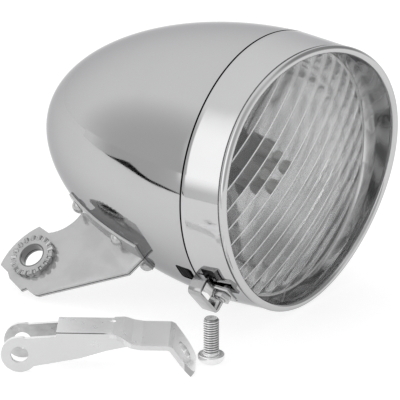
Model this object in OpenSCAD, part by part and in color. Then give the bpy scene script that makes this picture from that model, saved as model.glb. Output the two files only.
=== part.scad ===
// Retro bicycle headlight, laid out as it is sold: the lamp on its side,
// with its loose mounting arm and arm screw in front of it.
// The lamp itself is drawn upright, its axis along X and its lug pointing down,
// and is then rolled on to the side of its lug.

/* [Lamp body] */
// Outside radius of the lamp at its seam
seam_r = 45; // [42:0.5:52]
// Length of the domed shell behind the seam
shell_len = 87; // [78:1:105]
// Fullness of the dome: 2 is an ellipse, less is more pointed
dome_power = 1.9; // [1.7:0.05:2.2]
// Wall of the shell
shell_wall = 0.9; // [0.8:0.1:1.6]
// How far the shell's neck reaches into the front ring
neck_len = 3; // [2:0.25:3]
// How far the lamp is rolled over from upright, in degrees
lamp_roll = 50; // [44:1:56]

/* [Front ring] */
// Reach of the ring's rim in front of the seam, between its top and bottom
ring_len = 20.4; // [19:0.2:26]
// How much shorter the ring is at its two sides
rim_dip = 4.3; // [2:0.1:6]
// How much further the ring reaches at its top
rim_peak = 2.2; // [0.5:0.1:4]
// How much narrower the ring is at its rim than at the seam
rim_taper = 1.2; // [0.6:0.1:1.6]
// Wall of the ring
ring_wall = 1; // [0.8:0.1:1.4]
// Radius of the rolled bead along the rim
bead_r = 1.3; // [0.9:0.1:1.6]
// Gap between the ring and the shell's shoulder
seam_gap = 0.4; // [0.3:0.05:0.6]

/* [Lens] */
// How far the lens's edge lies inside the seam's radius
lens_inset = 4; // [4:0.25:6]
// Where the lens rests in the ring, in front of the seam
lens_x = 8.8; // [8:0.2:10]
// How far the lens bulges forward of its edge
lens_crown = 6.5; // [4:0.25:8]
// Thickness of the lens
lens_t = 1.8; // [1.4:0.1:2.4]
// Spacing of the upright flutes
flute_pitch = 5.4; // [4:0.2:8]
// How deep each flute is
flute_depth = 0.5; // [0.4:0.05:1.1]

/* [Reflector and lights] */
// Radius of the bowl inside the reflector's flat step
bowl_r = 31; // [26:0.5:34]
// Depth of the bowl
bowl_depth = 8; // [6:0.5:13]
// Radius of the neck that holds the lights
holder_r = 9; // [8:0.25:11]
// Diameter of each light-emitting diode
led_d = 5; // [3:0.5:6]
// How many diodes stand round the middle one
led_ring_n = 4; // [3:1:6]

/* [Batteries] */
// Diameter of one cell
cell_d = 10.5; // [10:0.1:11]
// Length of one cell
cell_len = 44.5; // [42:0.5:46]
// Number of cells
cell_n = 3; // [2:1:4]

/* [Mounting lug] */
// Sheet thickness of each of the two lug plates
lug_t = 1; // [0.8:0.1:1.4]
// Distance of the lug's hole behind the seam
lug_hole_x = 63.4; // [60:0.2:66]
// Distance of the lug's hole below the lamp's axis
lug_hole_z = 54.6; // [52.5:0.2:56]
// Radius of the hole
lug_hole_r = 4; // [3:0.1:4.5]
// Outside radius of the toothed boss round the hole
boss_r = 7.6; // [7:0.1:8.4]
// Height of the toothed boss
boss_h = 2.2; // [1.8:0.1:2.6]
// Number of teeth on the boss
boss_teeth = 18; // [14:1:20]
// Half width of the lug's foot across the shell
foot_half_w = 7; // [6:0.25:9]
// Radius of a rivet's shank
rivet_r = 1.3; // [1:0.1:1.6]
// Radius of a rivet's head
rivet_head_r = 2.4; // [2:0.1:2.5]

/* [Clamp under the ring] */
// Width of the clamp's strap along the lamp
clamp_strap_w = 5; // [4:0.25:5.5]
// Sheet thickness of the strap
clamp_t = 1.2; // [1:0.1:1.6]
// Width of the strap's stirrup across the lamp
clamp_span = 14; // [13:0.5:16]
// How far the stirrup hangs below the ring
clamp_drop = 6.2; // [5.6:0.2:8]
// How far the clamp is turned round the lamp, away from the switch, in degrees
clamp_turn = 2.5; // [0:0.5:4]
// Width across the flats of the clamp's nut
nut_af = 5.5; // [5:0.25:7]
// Thickness of the clamp's nut
nut_h = 1.8; // [1.4:0.1:2.6]
// Radius of the clamp screw
clamp_screw_r = 1.5; // [1.25:0.05:1.75]

/* [Switch] */
// Length of the switch window along the lamp
window_len = 6.6; // [5:0.2:8]
// Width of the switch window across the lamp
window_w = 7; // [5:0.2:9]
// Travel of the switch slider
switch_travel = 2.2; // [1:0.1:2.6]

/* [Mounting arm] */
// Length of the arm from its hole to its foot's end
arm_len = 54.6; // [50:0.5:62]
// Width over the arm's two ears
arm_w = 13; // [11:0.5:16]
// Width of the arm's foot
foot_w = 20; // [18:0.5:24]
// Sheet thickness of the arm
arm_t = 1.5; // [1.2:0.1:1.8]
// Radius of each ear's round end
ear_r = 5.8; // [5:0.1:6.6]
// Radius of the hole through both ears
ear_hole_r = 2.8; // [2.6:0.1:3.4]
// Height of the arm's back above the ground
arm_h = 13.5; // [12.5:0.25:15]
// Radius of the hole in the arm's foot
foot_hole_r = 3; // [2.5:0.1:3.4]

/* [Arm screw] */
// Radius of the screw's shank
screw_r = 2.5; // [2:0.1:2.55]
// Length of the shank below the head
screw_len = 12; // [10:0.2:20]
// Radius of its pan head
screw_head_r = 4.25; // [3.8:0.05:4.6]
// Height of its pan head
screw_head_h = 3.3; // [2.6:0.1:3.8]

/* [Layout] */
// How far the arm's near ear lies behind the seam
arm_back = 21.9; // [18:0.5:26]
// How far the arm's near ear lies from the lamp's axis
arm_side = 97.3; // [94:0.5:104]
// How far the arm is turned from the lamp's axis, in degrees
arm_turn = 36.3; // [32:0.5:40]
// Gap between the arm's foot and the screw's head
screw_gap = 0.5; // [0.4:0.1:4]

/* [Hidden] */

round_fn = 96;
small_fn = 48;
eps = 0.01;
far = 300;
play = 0.05;          // between pieces of one body that seat in each other
move_gap = 0.3;       // between pieces that slide past each other

chrome = "#c9cccf";
satin = "#b9bcbe";
black = "#17171a";

rim_r = seam_r - rim_taper;
lens_r = seam_r - lens_inset;
// Outside radius of the ring at a distance in front of the seam
function ring_out_at(x) = seam_r - (seam_r - rim_r) * (x - seam_gap) / (ring_len - seam_gap);
ring_in_r = ring_out_at(lens_x) - ring_wall;
neck_r = ring_in_r - move_gap;
shell_steps = 40;
// Radius of a dome of a given radius and length at a distance behind its edge
function dome_r_at(r, len, back) = r * pow(1 - pow(back / len, dome_power), 1 / dome_power);
// Radius of the shell's outside and inside there
function shell_r_at(back) = dome_r_at(seam_r, shell_len, back);
function shell_in_at(back) = dome_r_at(seam_r - shell_wall, shell_len - shell_wall, back);
// Slope of the shell there, in degrees
function shell_tilt_at(back) = atan(seam_r / shell_len * pow(back / shell_len, dome_power - 1)
    * pow(1 - pow(back / shell_len, dome_power), 1 / dome_power - 1));
// Outline of a dome from its tip to its edge
function dome_line(r, len) = [for (i = [0 : shell_steps]) let (a = 90 * i / shell_steps)
    [-len * pow(cos(a), 2 / dome_power), r * pow(sin(a), 2 / dome_power)]];

// Outlines turned about X are drawn as [distance along X, radius]
module turned(outline) {
    rotate([0, 90, 0]) rotate_extrude($fn = round_fn)
        polygon([for (p = outline) [p[1], p[0]]]);
}

// Place of the loose screw, beyond the arm's foot
screw_along = arm_len + screw_gap + screw_head_r;
screw_across = 0.48 * foot_w;
screw_x = -arm_back + screw_along * cos(arm_turn) - screw_across * sin(arm_turn);
screw_y = -arm_side + screw_along * sin(arm_turn) + screw_across * cos(arm_turn);
// The box of the whole layout, which puts the origin under its middle
foot_corner_r = 5;
foot_over = (foot_w - arm_w) / 2;
foot_reach_x = -arm_back + (arm_len - foot_corner_r) * cos(arm_turn)
    - (foot_corner_r - foot_over) * sin(arm_turn) + foot_corner_r;
arm_low_y = -arm_side - ear_r * sin(arm_turn);
ring_reach = ring_len + max(rim_peak, 0);
layout_x = (max(ring_reach, screw_x + screw_head_r, foot_reach_x) - shell_len) / 2;
layout_y = (seam_r + arm_low_y) / 2;

module lying_lamp() {
    translate([-layout_x, -layout_y, seam_r]) rotate([-lamp_roll, 0, 0]) children();
}
module arm_place() {
    translate([-arm_back - layout_x, -arm_side - layout_y, 0])
        rotate([0, 0, arm_turn]) children();
}
module screw_place() {
    translate([screw_x - layout_x, screw_y - layout_y, 0]) children();
}

// Rivet places on the lug's feet: [distance behind the seam, side of the lamp]
rivet_side = 4.6;
rivet_backs_near = [55.5, 34.5];
rivet_backs_far = [50, 26];
module at_rivet(back, side) {
    rotate([side * asin(rivet_side / foot_top_at(back)), 0, 0])
        translate([-back, 0, -foot_top_at(back)]) rotate([0, shell_tilt_at(back), 0]) children();
}

// Shell
window_x1 = -1.3;
window_x0 = window_x1 - window_len;
window_turn = 3;
shell_lip = 1.2;
module shell() {
    outer = dome_line(seam_r, shell_len);
    inner = dome_line(seam_r - shell_wall, shell_len - shell_wall);
    behind_lip = [for (i = [shell_steps : -1 : 0]) if (inner[i][0] < -shell_lip) inner[i]];
    color(chrome) lying_lamp() difference() {
        turned(concat(outer, [[0, neck_r], [neck_len, neck_r],
            [neck_len, neck_r - shell_wall], [-shell_lip, neck_r - shell_wall],
            [-shell_lip, shell_in_at(shell_lip)]], behind_lip));
        switch_window();
        for (back = rivet_backs_near) at_rivet(back, -1) rivet_hole();
        for (back = rivet_backs_far) at_rivet(back, 1) rivet_hole();
    }
}
module rivet_hole() {
    translate([0, 0, -3]) cylinder(r = rivet_r + play, h = 9, $fn = small_fn);
}
// Window with round corners at its rear
window_corner = 1;
module window_outline(len, width, corner) {
    difference() {
        translate([0, -width / 2]) square([len, width]);
        for (s = [-1, 1]) translate([0, s * width / 2]) corner_cut(corner, s);
    }
}
module switch_window() {
    switch_frame() translate([window_x0, 0, -seam_r - 1])
        linear_extrude(4) window_outline(window_len, window_w, window_corner);
}
module corner_cut(r, s) {
    scale([1, -s]) difference() {
        translate([-eps, -eps]) square(r + eps);
        translate([r, r]) circle(r, $fn = small_fn);
    }
}

// Front ring
rim_curve_r = (pow(rim_r, 2) + pow(rim_dip, 2)) / (2 * rim_dip);
rim_tilt = atan(rim_peak / rim_r);
bead_proud = 0.15;
rim_wall = 1.42 * bead_r;
// Distance of the rim in front of the seam, at a radius and an angle from the ring's top
function rim_x_at(r, a) = ring_len - bead_r + r * cos(a) * tan(rim_tilt)
    - (rim_curve_r - sqrt(pow(rim_curve_r, 2) - pow(r * sin(a), 2))) / cos(rim_tilt);
function bead_at_r(a) = ring_out_at(rim_x_at(rim_r - bead_r, a)) + bead_proud - bead_r;
seat_slope = 3;       // length of the cone that leads to the lens
module bezel_ring() {
    front = ring_len + rim_peak;
    color(chrome) lying_lamp() {
        difference() {
            intersection() {
                turned([[seam_gap, ring_in_r], [seam_gap, seam_r], [front, ring_out_at(front)],
                    [front, ring_out_at(front) - rim_wall],
                    [lens_x + seat_slope, ring_out_at(lens_x + seat_slope) - rim_wall],
                    [lens_x, lens_r], [lens_x, ring_in_r]]);
                rim_cutter();
            }
            clamp_frame() {
                for (s = [-1, 1]) clamp_slot(s);
                at_clamp_nut() translate([0, 0, -4])
                    cylinder(r = clamp_screw_r + play, h = 4 + stud_depth, $fn = small_fn);
            }
        }
        rim_bead();
    }
}
module rim_cutter() {
    translate([ring_len - bead_r, 0, 0]) rotate([0, rim_tilt, 0])
        translate([-rim_curve_r, 0, -far / 2]) cylinder(r = rim_curve_r, h = far, $fn = 360);
}
// The bead is a tube of ten sides swept along the rim's saddle-shaped edge
bead_rings = 120;
bead_sides = 10;
module rim_bead() {
    points = [for (i = [0 : bead_rings - 1]) let (a = 360 * i / bead_rings)
        for (j = [0 : bead_sides - 1]) let (b = 360 * j / bead_sides)
        let (r = bead_at_r(a) + bead_r * cos(b))
        [rim_x_at(bead_at_r(a), a) + bead_r * sin(b), r * sin(a), r * cos(a)]];
    faces = [for (i = [0 : bead_rings - 1]) let (n = (i + 1) % bead_rings)
        for (j = [0 : bead_sides - 1]) let (m = (j + 1) % bead_sides)
        [i * bead_sides + j, n * bead_sides + j, n * bead_sides + m, i * bead_sides + m]];
    polyhedron(points, faces, convexity = 6);
}
slot_x0 = 3.4;
slot_len = 5;
module clamp_slot(s) {
    translate([slot_x0, s * (clamp_span / 2 - clamp_t) - (s < 0 ? 4 : 0), -seam_r - 1])
        cube([slot_len, 4, 5]);
}

// Lens: a shallow dome with upright flutes inside, and a flat flange round it
seat_r = ring_in_r - play;
band_t = 0.8;         // of the rubber band between the ring and the lens's edge
edge_r = seat_r - band_t;
lens_sphere_r = (pow(lens_r, 2) + pow(lens_crown, 2)) / (2 * lens_crown);
flute_r = (pow(flute_pitch / 2, 2) + pow(flute_depth, 2)) / (2 * flute_depth);
flute_n = floor(lens_r / flute_pitch);
lens_back = lens_x - lens_t;
module lens() {
    dome_x = lens_x + lens_crown - lens_sphere_r;
    color("#e8edf0", 0.5) lying_lamp() {
        difference() {
            intersection() {
                translate([dome_x, 0, 0]) sphere(r = lens_sphere_r, $fn = 240);
                turned([[lens_back, 0], [lens_back + far, 0], [lens_back + far, lens_r - play],
                    [lens_back, lens_r - play]]);
            }
            difference() {
                translate([dome_x, 0, 0]) sphere(r = lens_sphere_r - lens_t, $fn = 240);
                for (i = [-flute_n : flute_n]) translate([dome_x, i * flute_pitch, 0])
                    flute(sqrt(pow(lens_sphere_r - lens_t, 2) - pow(i * flute_pitch, 2)));
            }
        }
        turned([[lens_back, lens_r - lens_t], [lens_x - play, lens_r - lens_t],
            [lens_x - play, edge_r - play], [lens_back, edge_r - play]]);
    }
}
// One flute: a bead swept upright round the dome's middle
module flute(dome_r) {
    rotate([90, 0, 0]) rotate_extrude($fn = 240)
        translate([dome_r + flute_r - flute_depth, 0]) circle(flute_r, $fn = 32);
}

// Gasket, reflector and the clips that press them against the lens
gasket_t = 1;
reflector_t = 1;
gasket_back = lens_back - gasket_t;
reflector_back = gasket_back - reflector_t;
band_back = neck_len + move_gap + 0.2;
module lens_gasket() {
    color(black) lying_lamp() turned([[gasket_back, lens_r], [lens_back, lens_r], [lens_back, edge_r],
        [lens_x - play, edge_r], [lens_x - play, seat_r], [band_back, seat_r], [band_back, edge_r],
        [gasket_back, edge_r]]);
}
step_slope = 2.5;     // fall of the flat step towards the bowl
step_drop = 1.5;      // height of the bowl's sharp upper edge
bowl_front = gasket_back - step_slope - step_drop;
bowl_back = bowl_front - bowl_depth;
bowl_steps = 16;
function bowl_x_at(r) =
    bowl_back + bowl_depth * (pow(r, 2) - pow(holder_r, 2)) / (pow(bowl_r, 2) - pow(holder_r, 2));
module reflector() {
    bowl = [for (i = [0 : bowl_steps]) let (r = bowl_r + (holder_r - bowl_r) * i / bowl_steps)
        [bowl_x_at(r), r]];
    face = concat([[gasket_back, edge_r - play], [gasket_back, lens_r - reflector_t],
        [gasket_back - step_slope, bowl_r + reflector_t]], bowl);
    back = [for (i = [len(face) - 1 : -1 : 1]) [face[i][0] - reflector_t, face[i][1] + reflector_t / 2]];
    color(chrome) lying_lamp()
        turned(concat(face, back, [[reflector_back, edge_r - play]]));
}
clip_n = 4;
clip_spread = 16;
module lens_clips() {
    clip_r = edge_r - play;
    foot_r = lens_r - reflector_t / 2 + 0.1;
    color(satin) lying_lamp() for (i = [0 : clip_n - 1])
        rotate([45 + i * 360 / clip_n - clip_spread / 2, 0, 0]) rotate([0, 90, 0])
            rotate_extrude(angle = clip_spread, $fn = round_fn)
                polygon([[clip_r, band_back], [clip_r, reflector_back],
                    [foot_r, reflector_back], [foot_r, reflector_back - 0.5],
                    [clip_r - 0.6, reflector_back - 0.5], [clip_r - 0.6, band_back]]);
}

// Lights: a round holder in the bowl's neck, its diodes and the board behind
holder_front = bowl_back + holder_r / 3;
holder_flange_t = holder_r / 6;
holder_flange_r = 1.28 * holder_r;
holder_back = bowl_back - reflector_t - play - holder_flange_t;
board_t = 1.6;
board_back = holder_back - board_t;
led_r = led_d / 2;
led_len = 6;
led_ring_r = holder_r - led_r - 0.9;
module led_places() {
    children();
    for (i = [0 : led_ring_n - 1]) rotate([45 + 360 * i / led_ring_n, 0, 0])
        translate([0, 0, led_ring_r]) children();
}
module led_holder() {
    color(black) lying_lamp() difference() {
        turned([[holder_back, 0], [holder_front, 0], [holder_front, holder_r - play],
            [bowl_back - reflector_t - play, holder_r - play],
            [bowl_back - reflector_t - play, holder_flange_r], [holder_back, holder_flange_r]]);
        led_places() translate([holder_back - 1, 0, 0]) rotate([0, 90, 0])
            cylinder(r = led_r + play, h = far, $fn = small_fn);
    }
}
module leds() {
    color("#f4f6f2") lying_lamp() led_places() rotate([0, 90, 0]) union() {
        translate([0, 0, holder_back])
            cylinder(r = led_r, h = holder_front + led_len - led_r - holder_back, $fn = small_fn);
        translate([0, 0, holder_front + led_len - led_r]) sphere(r = led_r, $fn = small_fn);
    }
}
module led_board() {
    color("#2f6b46") lying_lamp() turned([[board_back, 0], [holder_back, 0],
        [holder_back, holder_flange_r + 0.5], [board_back, holder_flange_r + 0.5]]);
}

// Batteries: a carrier of two end plates on a spine, pushed into the shell
plate_t = 2;
carrier_front = board_back - 3;
plate_back = carrier_front - plate_t;
contact_t = 0.5;
spring_len = 4;
cell_front = plate_back - contact_t;
cell_back = cell_front - cell_len;
rear_plate_front = cell_back - spring_len;
cell_ring_r = max(cell_d / 2 + 5, (cell_d / 2 + 0.6) / sin(180 / cell_n));
spine_r = cell_ring_r - cell_d / 2 - play;
module cell_places() {
    for (i = [0 : cell_n - 1]) rotate([60 + 360 * i / cell_n, 0, 0])
        translate([0, 0, cell_ring_r]) rotate([0, 90, 0]) children();
}
module battery_carrier() {
    front_r = shell_in_at(-plate_back) - 0.1;
    rear_r = shell_in_at(-rear_plate_front + plate_t) - 0.5;
    color(black) lying_lamp() {
        turned([[rear_plate_front - plate_t, 0], [carrier_front, 0], [carrier_front, front_r - 2],
            [plate_back, front_r], [plate_back, spine_r], [rear_plate_front, spine_r],
            [rear_plate_front, min(rear_r, cell_ring_r + cell_d / 2 + 2)],
            [rear_plate_front - plate_t, min(rear_r, cell_ring_r + cell_d / 2 + 2)]]);
    }
}
module batteries() {
    nub_h = 0.8;
    color("#9aa7b0") lying_lamp() cell_places() {
        translate([0, 0, cell_back]) cylinder(r = cell_d / 2, h = cell_len - nub_h, $fn = small_fn);
        translate([0, 0, cell_front - nub_h]) cylinder(r = cell_d / 5, h = nub_h, $fn = small_fn);
    }
}
module battery_springs() {
    color(satin) lying_lamp() cell_places() translate([0, 0, rear_plate_front]) difference() {
        cylinder(r1 = cell_d * 0.38, r2 = cell_d * 0.25, h = spring_len, $fn = small_fn);
        translate([0, 0, 0.6]) cylinder(r = cell_d * 0.17, h = spring_len, $fn = small_fn);
    }
}
module battery_contacts() {
    leaf_len = board_back - carrier_front - move_gap;
    leaf_w = 0.38 * cell_d;
    leaf_h = 0.29 * cell_d;
    color("#c8a24a") lying_lamp() {
        cell_places() translate([0, 0, cell_front]) cylinder(r = cell_d * 0.35, h = contact_t, $fn = small_fn);
        for (s = [-1, 1]) translate([carrier_front, s * holder_r - leaf_w / 2, -leaf_h / 2])
            cube([leaf_len, leaf_w, leaf_h]);
    }
}

// Switch: its body behind the window and the slider that shows
body_wall_gap = 0.1;
body_side = window_w / 7;         // how far the switch body reaches past the window's sides
body_rear = 1.5 * body_side;      // and past its rear end
body_h = 0.85 * window_w;
slot_w = 2.4;
slot_end = 1;                     // of the body at each end of its slot
knob_len = window_len - 2 * move_gap - switch_travel;
switch_floor = sqrt(pow(shell_in_at(-window_x0 + body_rear), 2)
    - pow(window_w / 2 + body_side, 2)) - body_wall_gap;
module switch_frame() {
    rotate([-window_turn, 0, 0]) children();
}
module switch_body() {
    color(black) lying_lamp() switch_frame() difference() {
        translate([window_x0 - body_rear, -window_w / 2 - body_side, -switch_floor])
            cube([window_len + body_rear, window_w + 2 * body_side, body_h]);
        translate([window_x0 + slot_end, -slot_w / 2, -switch_floor - 1])
            cube([window_len - 2 * slot_end, slot_w, 4]);
    }
}
module switch_slider() {
    knob_low = seam_r - 0.5;
    knob_top = switch_floor + play;
    knob_w = window_w - 2 * move_gap;
    grip_w = 0.5;
    color("#222226") lying_lamp() switch_frame() {
        translate([window_x0 + move_gap, 0, -knob_low]) difference() {
            linear_extrude(knob_low - knob_top)
                window_outline(knob_len, knob_w, window_corner - move_gap);
            for (i = [0 : 2]) translate([knob_len * (i + 0.75) / 3.5, -window_w / 2, -0.4])
                cube([grip_w, window_w, 0.8]);
        }
        translate([window_x0 + slot_end + move_gap, -slot_w / 2 + move_gap, -knob_top - eps])
            cube([knob_len - 2 * slot_end, slot_w - 2 * move_gap, 2]);
    }
}

// Mounting lug: two pressed plates back to back, drawn about the hole
foot_back = 59.5;
foot_front = 24.5;
foot_steps = 10;
hub_r = lug_hole_r + 0.9;
function foot_top_at(back) = shell_r_at(back) + play + lug_t;
function foot_line(sink) = [for (i = [0 : foot_steps])
    let (back = foot_front + (foot_back - foot_front) * i / foot_steps) [-back, sink - foot_top_at(back)]];
function foot_band(sink) = [for (p = foot_line(sink)) [p[0], -p[1]]];
function arc_points(x, z, r, a0, a1, n) = [for (i = [0 : n])
    let (a = a0 + (a1 - a0) * i / n) [x + r * cos(a), z + r * sin(a)]];
module lug_outline() {
    hx = -lug_hole_x;
    hz = -lug_hole_z;
    polygon(concat(foot_line(lug_t / 2), arc_points(hx - 4.6, hz + 21.4, 12.2, -8, -69, 8),
        arc_points(hx + 10, hz - 3.5, 21, 135.5, 186.2, 10),
        [[hx - 6.6, hz - 7.4], [hx - 4.6, hz - 9.4], [hx + 1.6, hz - 11.9], [hx + 3, hz - 10.7],
        [hx + 7.3, hz - 11.9], [hx + 8.9, hz - 11.8], [-foot_front - 2.1, hz + 4.8]]));
}
// One plate with its foot, on the side of the lamp where the sheet turns off
module lug_plate(rivet_backs) {
    difference() {
        union() {
            rotate([90, 0, 0]) linear_extrude(lug_t) lug_outline();
            intersection() {
                turned(concat(foot_band(0), [for (i = [foot_steps : -1 : 0]) foot_band(lug_t)[i]]));
                translate([-foot_back - 1, -foot_half_w, -far]) cube([foot_back, foot_half_w, far]);
            }
        }
        at_lug_hole() cylinder(r = hub_r + play, h = 4 * lug_t, center = true, $fn = small_fn);
        for (back = rivet_backs) at_rivet(back, -1) rivet_hole();
    }
}
module at_lug_hole() {
    translate([-lug_hole_x, 0, -lug_hole_z]) rotate([90, 0, 0]) children();
}
module lug_plate_near() {
    color(chrome) lying_lamp() lug_plate(rivet_backs_near);
}
module lug_plate_far() {
    color(chrome) lying_lamp() mirror([0, 1, 0]) lug_plate(rivet_backs_far);
}
// Toothed boss: a hub through both plates, a smooth land and a crown of round teeth
land_r = hub_r + 1.1;
module lug_serrated_ring() {
    tooth_out = 0.36 * 2 * PI * boss_r / boss_teeth;
    tooth_in = tooth_out * land_r / boss_r;
    color(chrome) lying_lamp() at_lug_hole() difference() {
        union() {
            translate([0, 0, -lug_t]) cylinder(r = hub_r, h = 2 * lug_t + eps, $fn = small_fn);
            translate([0, 0, lug_t]) cylinder(r = land_r, h = boss_h - 0.4, $fn = small_fn);
            translate([0, 0, lug_t]) cylinder(r = boss_r - 0.35, h = boss_h - 0.8 * tooth_out, $fn = round_fn);
            for (i = [0 : boss_teeth - 1]) rotate(360 * i / boss_teeth)
                translate([land_r - 0.3, 0, lug_t + boss_h - tooth_out]) rotate([0, 90, 0])
                    cylinder(r1 = tooth_in, r2 = tooth_out, h = boss_r - land_r + 0.3, $fn = 24);
        }
        translate([0, 0, -2 * lug_t]) cylinder(r = lug_hole_r, h = 4 * lug_t + boss_h, $fn = small_fn);
    }
}
rivet_head_h = 1.8;
rivet_tail = lug_t + play + shell_wall + 0.15;
module rivet() {
    dome_r = (pow(rivet_head_r, 2) + pow(rivet_head_h, 2)) / (2 * rivet_head_h);
    intersection() {
        translate([0, 0, dome_r - rivet_head_h]) sphere(r = dome_r, $fn = small_fn);
        translate([0, 0, -rivet_head_h]) cylinder(r = rivet_head_r, h = rivet_head_h, $fn = small_fn);
    }
    cylinder(r = rivet_r, h = rivet_tail + 0.7, $fn = small_fn);
    translate([0, 0, rivet_tail]) cylinder(r = 1.5 * rivet_r, h = 0.7, $fn = small_fn);
}
module lug_rivets() {
    color(chrome) lying_lamp() {
        for (back = rivet_backs_near) at_rivet(back, -1) rivet();
        for (back = rivet_backs_far) at_rivet(back, 1) rivet();
    }
}

// Clamp: a strap bent into a stirrup, held on the ring by a stud and its nut
clamp_x0 = seam_gap + 0.1;
nut_tip_r = nut_af / 2 / cos(30);
nut_x = clamp_x0 + clamp_strap_w + nut_tip_r + move_gap;
ear_low = seam_r + play + clamp_t;
stud_depth = 0.8 * ring_wall;     // of the stud's foot in the ring
module clamp_frame() {
    rotate([clamp_turn, 0, 0]) children();
}
module at_clamp_nut() {
    translate([nut_x, 0, -seam_r]) children();
}
module clamp_stirrup() {
    corner_r = 2.2;
    low = seam_r + clamp_drop;
    color(chrome) lying_lamp() clamp_frame() difference() {
        union() {
            translate([clamp_x0, 0, 0]) rotate([90, 0, 90]) linear_extrude(clamp_strap_w)
                stirrup_profile(clamp_span / 2, low, corner_r);
            translate([clamp_x0, -clamp_span / 2 + clamp_t / 2, -ear_low])
                cube([clamp_strap_w, clamp_span - clamp_t, clamp_t]);
            translate([clamp_x0, -nut_af / 2 - 0.5, -ear_low])
                cube([nut_x - clamp_x0 + nut_tip_r, nut_af + 1, clamp_t]);
        }
        at_clamp_nut() translate([0, 0, -4]) cylinder(r = clamp_screw_r + play, h = 8, $fn = small_fn);
    }
}
module stirrup_profile(half, low, corner_r) {
    difference() {
        translate([-half, -low]) square([2 * half, clamp_drop + 2]);
        translate([-half + clamp_t, -low + clamp_t]) square([2 * (half - clamp_t), clamp_drop + 2]);
        circle(seam_r + play, $fn = 240);
        for (s = [-1, 1]) scale([s, 1]) translate([-half, -low]) corner_cut(corner_r, -1);
    }
}
module clamp_nut() {
    color(satin) lying_lamp() clamp_frame() at_clamp_nut()
        translate([0, 0, seam_r - ear_low - play - nut_h]) difference() {
            cylinder(r = nut_tip_r, h = nut_h, $fn = 6);
            translate([0, 0, -1]) cylinder(r = clamp_screw_r + play, h = nut_h + 2, $fn = small_fn);
        }
}
module clamp_screw() {
    stud_low = ear_low + nut_h + 0.4;
    color(satin) lying_lamp() clamp_frame() difference() {
        translate([nut_x, 0, -stud_low])
            cylinder(r = clamp_screw_r, h = stud_low - seam_r + stud_depth - play, $fn = small_fn);
        translate([nut_x - 0.4, -5, -stud_low - eps]) cube([0.8, 10, 1]);
    }
}

// Mounting arm, drawn from its near ear: along X, across Y, ground at Z 0
ear_reach = 11.5;     // from the hole to the edge of the arm's back
back_end = 29;        // where the back starts to step down to the foot
foot_start = 38;
foot_h = 11;          // height of the foot's flat part
foot_bend = 46.5;     // where the foot turns down to the ground
foot_drop = [foot_bend + 1.4, foot_h - 0.6];
foot_tip = [arm_len, 0.6 * arm_t];
foot_angle = atan((foot_drop[1] - foot_tip[1]) / (foot_tip[0] - foot_drop[0]));
flange_end = 33;
bend_r = 0.5;
// A strip of sheet under a line of points in the side view
function strip(line, t) = let (n = len(line)) concat(line, [for (i = [n - 1 : -1 : 0])
    let (d0 = line[max(i, 1)] - line[max(i, 1) - 1], d1 = line[min(i + 1, n - 1)] - line[min(i, n - 2)],
        u0 = d0 / norm(d0), u1 = d1 / norm(d1), m = u0 + u1, c = norm(m) / 2)
    line[i] + t * [m[1], -m[0]] / norm(m) / c]);
back_line = [[ear_reach, arm_h], [back_end, arm_h], [back_end + 3, arm_h - 0.5],
    [foot_start - 3, foot_h + 0.5], [foot_start, foot_h], [foot_bend, foot_h],
    foot_drop, foot_tip];
module ear_outline() {
    difference() {
        union() {
            translate([0, ear_r]) circle(ear_r, $fn = round_fn);
            polygon([[-1, 1.9 * ear_r], [ear_reach + 0.4, arm_h - arm_t + 0.1],
                [ear_reach + 0.4, arm_h - arm_t / 2], [back_end, arm_h - arm_t / 2],
                [foot_start, foot_h - arm_t / 2], [foot_start, foot_h - arm_t], [flange_end, foot_h - arm_t - 0.5],
                [27, 7.6], [19, 5],
                [0.5 * ear_r, 0.3 * ear_r], [0, ear_r]]);
        }
        translate([0, ear_r]) circle(ear_hole_r, $fn = small_fn);
    }
}
// The arm's back and foot seen from above
module back_outline() {
    mid = arm_w / 2;
    flare = [for (i = [0 : 8]) let (u = i / 8)
        [back_end - 2 + (foot_start - back_end) * u, mid + foot_over * (1 - cos(180 * u)) / 2]];
    half = concat([[ear_reach, mid]], flare, arc_points(arm_len - foot_corner_r,
        foot_w / 2 - foot_corner_r, foot_corner_r, 90, 0, 8));
    translate([0, mid]) polygon(concat(half, [for (i = [len(half) - 1 : -1 : 0]) [half[i][0], -half[i][1]]]));
}
module mounting_arm() {
    hole_mid = (foot_drop + foot_tip) / 2;
    color(satin) arm_place() difference() {
        union() {
            for (t = [arm_t, arm_w]) translate([0, t, 0]) rotate([90, 0, 0]) linear_extrude(arm_t) ear_outline();
            intersection() {
                translate([0, arm_w + foot_over, 0]) rotate([90, 0, 0])
                    linear_extrude(foot_w) polygon(strip(back_line, arm_t));
                linear_extrude(2 * arm_h) back_outline();
            }
        }
        translate([hole_mid[0], arm_w / 2, hole_mid[1]]) rotate([0, foot_angle, 0])
            cylinder(r = foot_hole_r, h = 6 * arm_t, center = true, $fn = small_fn);
        for (s = [0, 1]) translate([0, s * arm_w, arm_h]) scale([1, 1 - 2 * s, 1]) rotate([90, 0, 90])
            linear_extrude(back_end) arm_edge_cut();
        translate([back_end - 0.6, arm_w - 3, arm_h + 1.6]) sphere(r = 2, $fn = small_fn);
    }
}
module arm_edge_cut() {
    difference() {
        translate([-0.5, -bend_r - 0.5]) square(bend_r + 1);
        translate([bend_r, -bend_r]) circle(bend_r + 0.02, $fn = small_fn);
        translate([-1, -2 * bend_r]) square([1 + bend_r, bend_r]);
        translate([bend_r, -bend_r]) square(2 * bend_r);
    }
}

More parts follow.
